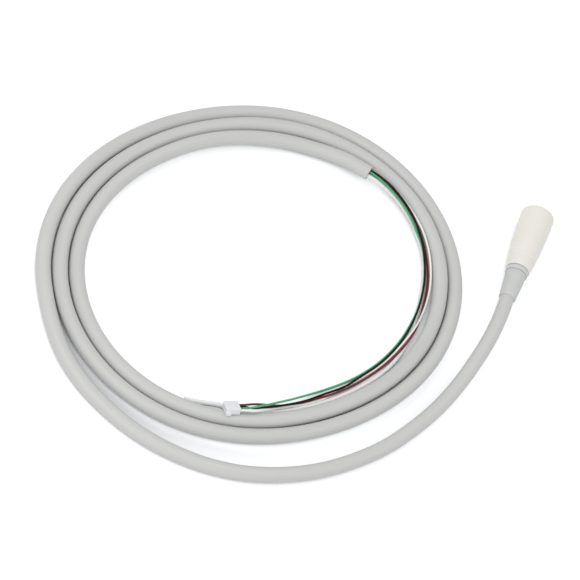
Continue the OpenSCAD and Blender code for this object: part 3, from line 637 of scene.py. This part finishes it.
class HOSE_OT_stage(bpy.types.Operator):
    """Set up the floor, the light and the camera of the photograph's view"""

    bl_idname = "hose.stage"
    bl_label = "Stage"

    def execute(self, context):
        self.make_floor()
        self.make_light(context.scene)
        self.make_camera(context.scene)
        context.scene.view_settings.view_transform = "Standard"
        return {"FINISHED"}

    def make_floor(self):
        """A white floor that keeps a soft shadow, paints shade into gaps and looks white to the camera.
        """
        half = 6.0
        brightest, rays = 0.81, 8
        nook_reach, nook_dark, nook_bright = 8 * MM, 0.11, 0.47
        wedge_reach, wedge_dark, wedge_bright = 12 * MM, 0.42, 0.88
        across_wedge = (math.radians(60), math.radians(240))
        mesh = bpy.data.meshes.new("floor")
        corners = [(-half, -half, 0), (half, -half, 0), (half, half, 0), (-half, half, 0)]
        mesh.from_pydata(corners, [], [(0, 1, 2, 3)])
        material = bpy.data.materials.new("studio_paper")
        material.use_nodes = True
        tree = material.node_tree
        tree.nodes.clear()
        path = add_node(tree, "ShaderNodeLightPath").outputs
        seen = path["Is Camera Ray"]
        for ray in ("Is Glossy Ray", "Is Transmission Ray"):
            seen = add_node(
                tree, "ShaderNodeMath", {0: seen, 1: path[ray]}, operation="MAXIMUM").outputs[0]
        # Painted shade: the glow dims in gaps that are narrow and deep, as between two loops
        nook = add_node(tree, "ShaderNodeAmbientOcclusion", {"Distance": nook_reach}, samples=rays)
        nook_glow = add_node(tree, "ShaderNodeMapRange", {
            "Value": nook.outputs["AO"], "From Min": nook_dark, "From Max": nook_bright,
            "To Max": brightest})
        # Painted shade also dims the glow in the wedge between the lead and the loops, which has walls
        # on both sides. Beside a single wall the clearer side is open, so the paper there stays white.
        clearer_side = 0
        for turn in across_wedge:
            aim = add_node(tree, "ShaderNodeCombineXYZ", {"X": math.cos(turn), "Y": math.sin(turn)})
            side = add_node(tree, "ShaderNodeAmbientOcclusion", {
                "Distance": wedge_reach, "Normal": aim.outputs[0]}, samples=rays)
            clearer_side = add_node(tree, "ShaderNodeMath", {
                0: clearer_side, 1: side.outputs["AO"]}, operation="MAXIMUM").outputs[0]
        wedge_glow = add_node(tree, "ShaderNodeMapRange", {
            "Value": clearer_side, "From Min": wedge_dark, "From Max": wedge_bright,
            "To Max": brightest})
        strength = add_node(tree, "ShaderNodeMath", {
            0: nook_glow.outputs[0], 1: wedge_glow.outputs[0]}, operation="MINIMUM")
        paper = add_node(tree, "ShaderNodeBsdfDiffuse", {"Color": (0.8, 0.8, 0.8, 1)})
        # The paper's diffuse part is tinted blue, so that its shade, real and painted, looks bluish
        shade = add_node(tree, "ShaderNodeBsdfDiffuse", {"Color": (0.258, 0.274, 0.294, 1)})
        # The glow keeps the paper white, and its strength carries the painted shade
        glow = add_node(tree, "ShaderNodeEmission", {
            "Color": (1, 1, 1, 1), "Strength": strength.outputs[0]})
        white = add_node(tree, "ShaderNodeAddShader", {0: shade.outputs[0], 1: glow.outputs[0]})
        mixed = add_node(
            tree, "ShaderNodeMixShader", {0: seen, 1: paper.outputs[0], 2: white.outputs[0]})
        add_node(tree, "ShaderNodeOutputMaterial", {"Surface": mixed.outputs[0]})
        mesh.materials.append(material)
        new_object("floor", mesh)

    def make_light(self, scene):
        """An even white surround and a wide soft lamp above the camera's side."""
        surround_strength, backdrop_strength = 0.74, 1.0
        lamp_side, lamp_watts = 1.2, 8
        lamp_place, lamp_target = Vector((-0.5, -0.75, 1.25)), Vector((-0.1, -0.08, 0))
        world = bpy.data.worlds.new("studio")
        world.use_nodes = True
        tree = world.node_tree
        tree.nodes.clear()
        path = add_node(tree, "ShaderNodeLightPath").outputs
        surround, backdrop = [
            add_node(tree, "ShaderNodeBackground", {"Color": (1, 1, 1, 1), "Strength": strength})
            for strength in (surround_strength, backdrop_strength)]
        mixed = add_node(tree, "ShaderNodeMixShader", {
            0: path["Is Camera Ray"], 1: surround.outputs[0], 2: backdrop.outputs[0]})
        add_node(tree, "ShaderNodeOutputWorld", {"Surface": mixed.outputs[0]})
        scene.world = world
        lamp = bpy.data.lights.new("softbox", "AREA")
        lamp.shape = "SQUARE"
        lamp.size = lamp_side
        lamp.energy = lamp_watts
        softbox = bpy.data.objects.new("softbox", lamp)
        scene.collection.objects.link(softbox)
        softbox.location = lamp_place
        softbox.rotation_euler = (lamp_target - lamp_place).to_track_quat("-Z", "Y").to_euler()

    def make_camera(self, scene):
        """The photograph's camera: a long lens from above, turned about its own axis."""
        heading = math.radians(6.67)
        below = math.radians(55)
        roll = math.radians(32)
        focal_pixels, frame_pixels = 2500, 580
        forward = Vector((
            math.sin(heading) * math.cos(below), math.cos(heading) * math.cos(below),
            -math.sin(below)))
        right = Vector((math.cos(heading), -math.sin(heading), 0))
        up = right.cross(forward)
        across = math.cos(roll) * right + math.sin(roll) * up
        upright = math.cos(roll) * up - math.sin(roll) * right
        data = bpy.data.cameras.new("camera")
        data.sensor_width = 36
        data.lens = focal_pixels / frame_pixels * data.sensor_width
        data.clip_start, data.clip_end = 0.05, 50
        camera = bpy.data.objects.new("camera", data)
        scene.collection.objects.link(camera)
        turn = Matrix((across, upright, -forward)).transposed()
        place = Vector((-0.1852, -0.7868, 1.0193))
        camera.matrix_world = Matrix.Translation(place) @ turn.to_4x4()
        scene.camera = camera


class HOSE_OT_hose(bpy.types.Operator):
    """Sweep the hose from the coupling through its loops to the cut end"""

    bl_idname = "hose.hose"
    bl_label = "Hose"

    def execute(self, context):
        sizes = sizes_of(context)
        sides, spacing = 36, 2.5 * MM
        path = smooth_path(hose_points(sizes), spacing)
        path[:, 2] = np.maximum(path[:, 2], sizes.hose / 2)
        travelled = distances(path)
        end = travelled[-1]
        radius, bore, depth, edge = sizes.hose / 2, sizes.hose_bore / 2, sizes.bore_depth, 0.2 * MM
        rings = [(depth, 0), (depth, bore), (0, bore), (0, radius - edge), (edge, radius)]
        rings += [(s, radius) for s in travelled[1:-1]]
        rings += [(end - edge, radius), (end, radius - edge), (end, bore + edge)]
        rings += [(end - edge, bore), (end - depth, bore), (end - depth, 0)]
        mesh = sweep_mesh("hose", path, rings, sides)
        hose = new_piece(
            "hose", mesh, silicone(colours_of(context).hose), "coupling", "hose_silicone",
            "hose_lead", "hose_coil")
        return {"FINISHED"}


class HOSE_OT_leads(bpy.types.Operator):
    """Sweep the four leads from the cut hose into the plug"""

    bl_idname = "hose.leads"
    bl_label = "Leads"

    def execute(self, context):
        sizes = sizes_of(context)
        sides, spacing = 16, 1 * MM
        radius, edge = sizes.wire / 2, 0.1 * MM
        for name in WIRE_ROUTES:
            path = smooth_path(wire_points(sizes, name), spacing)
            travelled = distances(path)
            end = travelled[-1]
            rings = [(0, 0), (0, radius - edge), (edge, radius)]
            rings += [(s, radius) for s in travelled[1:-1]]
            rings += [(end - edge, radius), (end, radius - edge), (end, 0)]
            material = lead_insulation(name, getattr(colours_of(context), name))
            lead = new_piece(
                name + "_lead", sweep_mesh(name, path, rings, sides), material, "coupling",
                name.replace("wire", "lead"), name)
        return {"FINISHED"}


class HOSE_OT_tube(bpy.types.Operator):
    """Sweep the water tube from the cut hose to its open end"""

    bl_idname = "hose.tube"
    bl_label = "Water tube"

    def execute(self, context):
        sizes = sizes_of(context)
        sides, spacing = 24, 1.2 * MM
        path = smooth_path(tube_points(sizes), spacing)
        travelled = distances(path)
        rings = [(s, sizes.tube / 2) for s in travelled]
        rings += [(s, sizes.tube_bore / 2) for s in travelled[::-1]]
        tube = new_piece(
            "tube", sweep_mesh("tube", path, rings, sides, closed=True),
            tube_plastic(colours_of(context).tube), "coupling", "tube_plastic", "water_tube")
        return {"FINISHED"}


class HOSE_OT_shell(bpy.types.Operator):
    """Turn the coupling's shell and cut the key slot in its socket"""

    bl_idname = "hose.shell"
    bl_label = "Shell"

    sides = 128
    socket = 6.5 * MM
    socket_depth = 12 * MM
    slot_width = 2 * MM
    slot_depth = 0.8 * MM

    def execute(self, context):
        mesh = lathe_mesh("shell", self.outline(), self.sides)
        shell = new_object("shell_work", mesh)
        cutter = new_object("key_slot", self.slot_mesh())
        cut = shell.modifiers.new("key_slot", "BOOLEAN")
        cut.operation = "DIFFERENCE"
        cut.solver = "EXACT"
        cut.object = cutter
        slotted = plain_mesh(shell)
        bpy.data.objects.remove(cutter)
        slotted.set_sharp_from_angle(angle=math.radians(TURNED_CREASE))
        new_piece(
            "shell", slotted, shell_plastic(colours_of(context).shell), "coupling",
            "shell_plastic", "coupling_shell")
        return {"FINISHED"}

    def outline(self):
        """Outer swell from tail to rim, then the socket, web and core bore."""
        tail, mouth = shell_low.y, shell_high.y
        length = mouth - tail
        mouth_r, tail_r = (shell_high.x - shell_low.x) / 2, 6.4 * MM
        rim, swell, tail_round = 1.4 * MM, 2.2, 0.45 * MM
        web, web_bore, core_bore, chamfer = 2 * MM, 4.5 * MM, 5.4 * MM, 0.5 * MM
        line, line_step, line_fade, line_depth = 6 * MM, 0.5 * MM, 1.2 * MM, 0.2 * MM
        rings = 48

        def radius(s):
            grown = tail_r + (mouth_r - tail_r) * (1 - (1 - s / length) ** swell)
            run = line_step if s > line else line_fade
            return grown - line_depth * max(0, 1 - abs(s - line) / run)

        places = list(np.linspace(tail_round, length - rim, rings))
        places += [line - line_fade, line, line + line_step]
        outer = arc(radius(tail_round) - tail_round, tail + tail_round, tail_round, -90, 0)
        outer += [(radius(s), tail + s) for s in sorted(places)[1:]]
        outer += arc(radius(length - rim) - rim, mouth - rim, rim, 0, 90, 9)[1:]
        bottom = mouth - self.socket_depth
        inner = [
            (self.socket + chamfer, mouth), (self.socket, mouth - chamfer), (self.socket, bottom),
            (web_bore, bottom), (web_bore, bottom - web), (core_bore, bottom - web),
            (core_bore, tail + chamfer), (core_bore + chamfer / 2, tail)]
        return outer + inner

    def slot_mesh(self):
        """The block that cuts the key slot along the top of the socket."""
        work = bmesh.new()
        bmesh.ops.create_cube(work, size=1)
        top = self.socket + self.slot_depth
        size = Vector((self.slot_width, 2 * self.socket_depth, top))
        place = Vector((0, shell_high.y, AXIS_HEIGHT + top / 2))
        bmesh.ops.transform(
            work, verts=work.verts, matrix=Matrix.Translation(place) @ Matrix.Diagonal(size).to_4x4())
        mesh = bpy.data.meshes.new("key_slot")
        work.to_mesh(mesh)
        work.free()
        return mesh


class HOSE_OT_gland(bpy.types.Operator):
    """Turn the gland nut with its thread, and the bend relief"""

    bl_idname = "hose.gland"
    bl_label = "Gland"

    sides = 96

    def execute(self, context):
        colours = colours_of(context)
        self.make_relief(relief_rubber(colours.relief))
        self.make_nut(nut_plastic(colours.nut))
        return {"FINISHED"}

    def make_relief(self, material):
        """Tapered sleeve with a round tip, a neck for the nut and a collar."""
        tip, collar_end, nut_gap = relief_low.y, relief_high.y, 0.3 * MM
        root = nut_low.y - nut_gap
        bore, lip, tip_r, root_r = 3.95 * MM, 3.83 * MM, 4.4 * MM, 5.5 * MM
        neck, collar, collar_length = 4.6 * MM, 5.2 * MM, 1.5 * MM
        soft, edge = 0.5 * MM, 0.2 * MM
        outline = [(bore, tip + 3 * soft), (lip, tip + 2 * soft), (lip, tip + edge)]
        outline += arc(tip_r - soft, tip + soft, soft, -90, 0, 7)
        outline += arc(root_r - edge, root - edge, edge, 0, 90)
        outline += [
            (neck, root), (neck, collar_end - collar_length), (collar, collar_end - collar_length),
            (collar, collar_end), (bore, collar_end)]
        new_piece(
            "relief", lathe_mesh("relief", outline, self.sides), material, "relief", "relief_rubber",
            "bend_relief")

    def make_nut(self, material):
        """Plain ring with rounded edges and a spigot that carries the thread."""
        high = nut_high.y
        ring, ring_length, soft, spread = 5.9 * MM, 2.4 * MM, 0.2 * MM, 0.06 * MM
        low = nut_low.y - spread
        ring_length += 2 * spread
        crest, depth, bore = 5.3 * MM, 0.3 * MM, 4.75 * MM
        root = crest - depth
        outline = arc(ring - soft, low + soft, soft, -90, 0)
        outline += arc(ring - soft, low + ring_length - soft, soft, 0, 90)
        outline += [(root, low + ring_length), (root, high), (bore, high), (bore, low)]
        plain_end, pitch, foot_share, crest_share = 0.5 * MM, 1.25 * MM, 0.7, 0.15
        start = low + ring_length + plain_end
        values = {
            "Root radius": root, "Height": 2 * depth, "Foot": foot_share * pitch,
            "Crest": crest_share * pitch, "Pitch": pitch, "Length": high - start - plain_end,
            "Start": (0.0, start, AXIS_HEIGHT)}
        ring_mesh = lathe_mesh("nut", outline, self.sides)
        mesh = grown_mesh(ring_mesh, thread_tree(values, material), values)
        mesh.set_sharp_from_angle(angle=math.radians(TURNED_CREASE))
        new_piece("nut", mesh, material, "nut", "nut_plastic", "gland_nut")


class HOSE_OT_plug(bpy.types.Operator):
    """Mould the plug with its key rib, its ways and their windows"""

    bl_idname = "hose.plug"
    bl_label = "Plug"

    def execute(self, context):
        sizes = sizes_of(context)
        material = plug_nylon(colours_of(context).plug)
        length, width, height = sizes.plug_length, sizes.plug_width, sizes.plug_thickness
        channel, rib, spare = 1.1 * MM, (2.3 * MM, 1.8 * MM, 1.3 * MM), 0.2 * MM
        window_length, window_width, lead_clearance = 1.6 * MM, 0.8 * MM, 0.05 * MM
        values = {
            "Channel size": (length - PLUG_ENTRY + spare, channel, channel),
            "Channel place": (-(length + PLUG_ENTRY + spare) / 2, 0.0, 0.0),
            "Window size": (window_length, window_width, height),
            "Window place": (-length / 2, 0.0, -height / 2),
            "Rib size": rib,
            "Rib place": (
                (rib[0] + spare) / 2 - length, -width / 2 - spare, (rib[2] - height + spare) / 2),
            "Lead radius": sizes.wire / 2 + lead_clearance,
            "Lead depth": 2 * PLUG_ENTRY + spare,
            "First way": (0.0, -(PLUG_WAYS - 1) / 2 * sizes.plug_pitch, 0.0),
            "Way step": (0.0, sizes.plug_pitch, 0.0)}
        mesh = grown_mesh(
            self.block_mesh(length, width, height), plug_tree(values, material), values)
        face, along, across, square = plug_frame(sizes)
        turn = Matrix(np.array([along, -across, square]).T.tolist()).to_4x4()
        mesh.transform(Matrix.Translation(face.tolist()) @ turn)
        finished_mesh(mesh, PLUG_CREASE)
        new_piece("plug", mesh, material, "coupling", "plug_nylon", "plug_housing")
        return {"FINISHED"}

    def block_mesh(self, length, width, height):
        """The plug's block with round edges, its lead side at the origin."""
        edge, edge_steps = 0.15 * MM, 4
        work = bmesh.new()
        bmesh.ops.create_cube(work, size=1)
        size = Matrix.Diagonal((length, width, height, 1))
        bmesh.ops.transform(
            work, verts=work.verts, matrix=Matrix.Translation((-length / 2, 0, 0)) @ size)
        bmesh.ops.bevel(
            work, geom=work.edges[:], offset=edge, segments=edge_steps, profile=0.5, affect="EDGES")
        mesh = bpy.data.meshes.new("plug_block")
        work.to_mesh(mesh)
        work.free()
        return mesh


class HOSE_OT_inner(bpy.types.Operator):
    """Finish the pieces inside the coupling and the plug, which keep the frame's shape"""

    bl_idname = "hose.inner"
    bl_label = "Inner pieces"

    def execute(self, context):
        gilt = turned_metal("brass_turned_gilt", "#D2A94E", (0.18, 0.3))
        steel = turned_metal("stainless_steel_turned", "#B4B8BC", (0.22, 0.36))
        finishes = {
            "contact_block": block_plastic(),
            "contact_sleeves": gilt,
            "water_port": steel,
            "hose_stem": steel,
            "port_seal": seal_rubber(),
            "clamp_sleeve": turned_metal("brass_turned", "#C9B27A", (0.28, 0.42)),
            "crimp_ferrule": turned_metal("aluminium_crimped", "#B4B8BC", (0.3, 0.5)),
            "core_leads": lead_insulation("core", linear("#8A5A3C"), None),
            "core_tube": tube_plastic(colours_of(context).tube, None),
            "crimp_terminals": turned_metal("tinned_bronze_stamped", "#C8CACC", (0.3, 0.5))}
        for node, material in finishes.items():
            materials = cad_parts[node].data.materials
            materials.clear()
            materials.append(material)
        return {"FINISHED"}


class HOSE_PT_panel(bpy.types.Panel):
    """Lists the hose's pieces with their sizes and colours"""

    bl_label = "Handpiece hose"
    bl_space_type = "VIEW_3D"
    bl_region_type = "UI"
    bl_category = "Hose"

    def draw(self, context):
        for operator in OPERATORS:
            self.layout.operator(operator.bl_idname)
        for settings in (sizes_of(context), colours_of(context)):
            column = self.layout.column()
            for name in type(settings).__annotations__:
                column.prop(settings, name)


OPERATORS = (
    HOSE_OT_stage, HOSE_OT_hose, HOSE_OT_plug, HOSE_OT_leads, HOSE_OT_tube, HOSE_OT_shell,
    HOSE_OT_gland, HOSE_OT_inner)
CLASSES = (HoseSizes, HoseColours) + OPERATORS + (HOSE_PT_panel,)


def register():
    """Adds the classes and their settings to Blender."""
    for cls in CLASSES:
        bpy.utils.register_class(cls)
    bpy.types.Scene.hose_sizes = bpy.props.PointerProperty(type=HoseSizes)
    bpy.types.Scene.hose_colours = bpy.props.PointerProperty(type=HoseColours)


def unregister():
    """Removes the classes and their settings from Blender."""
    del bpy.types.Scene.hose_sizes
    del bpy.types.Scene.hose_colours
    for cls in reversed(CLASSES):
        bpy.utils.unregister_class(cls)


def main():
    """Registers the add-on and builds every piece."""
    register()
    bpy.ops.hose.stage()
    bpy.ops.hose.hose()
    bpy.ops.hose.plug()
    bpy.ops.hose.leads()
    bpy.ops.hose.tube()
    bpy.ops.hose.shell()
    bpy.ops.hose.gland()
    bpy.ops.hose.inner()


if __name__ == "__main__":
    main()
